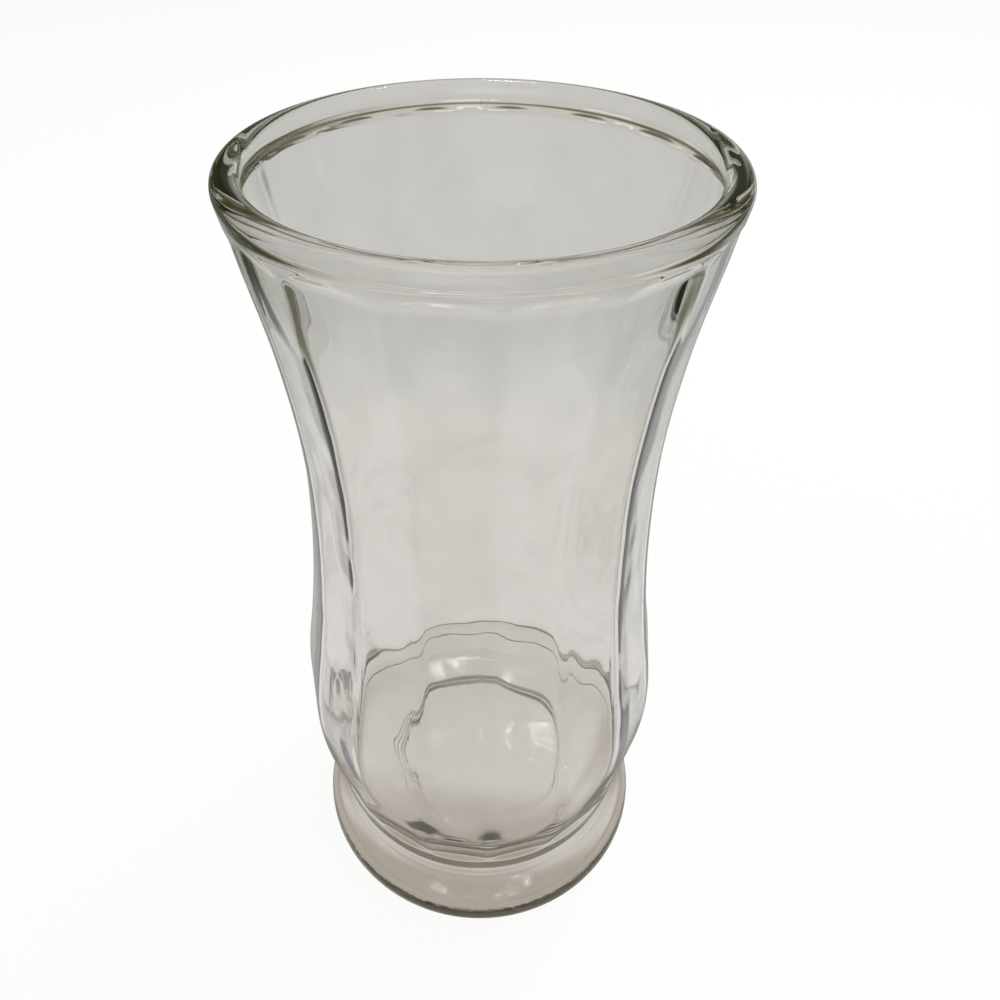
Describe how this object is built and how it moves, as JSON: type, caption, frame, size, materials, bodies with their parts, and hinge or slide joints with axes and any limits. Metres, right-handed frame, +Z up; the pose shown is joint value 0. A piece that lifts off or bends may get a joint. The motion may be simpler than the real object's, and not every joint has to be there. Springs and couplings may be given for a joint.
{
  "type": "flower vase",
  "caption": "Footed glass flower vase with flat upright panels, a low bulge, a narrow neck and a flared mouth with a thick round bead lip.",
  "frame": {"origin": "centre of the foot's flat bearing ring, on the surface the vase stands on", "axes": "+Z up along the vase's axis of symmetry, +X through the middle of one panel"},
  "size_m": [0.1114, 0.1114, 0.23],
  "materials": {
    "clear_glass": "gloss"
  },
  "bodies": {
    "root": {"vase_body": "clear_glass", "foot": "clear_glass"}
  },
  "joints": []
}
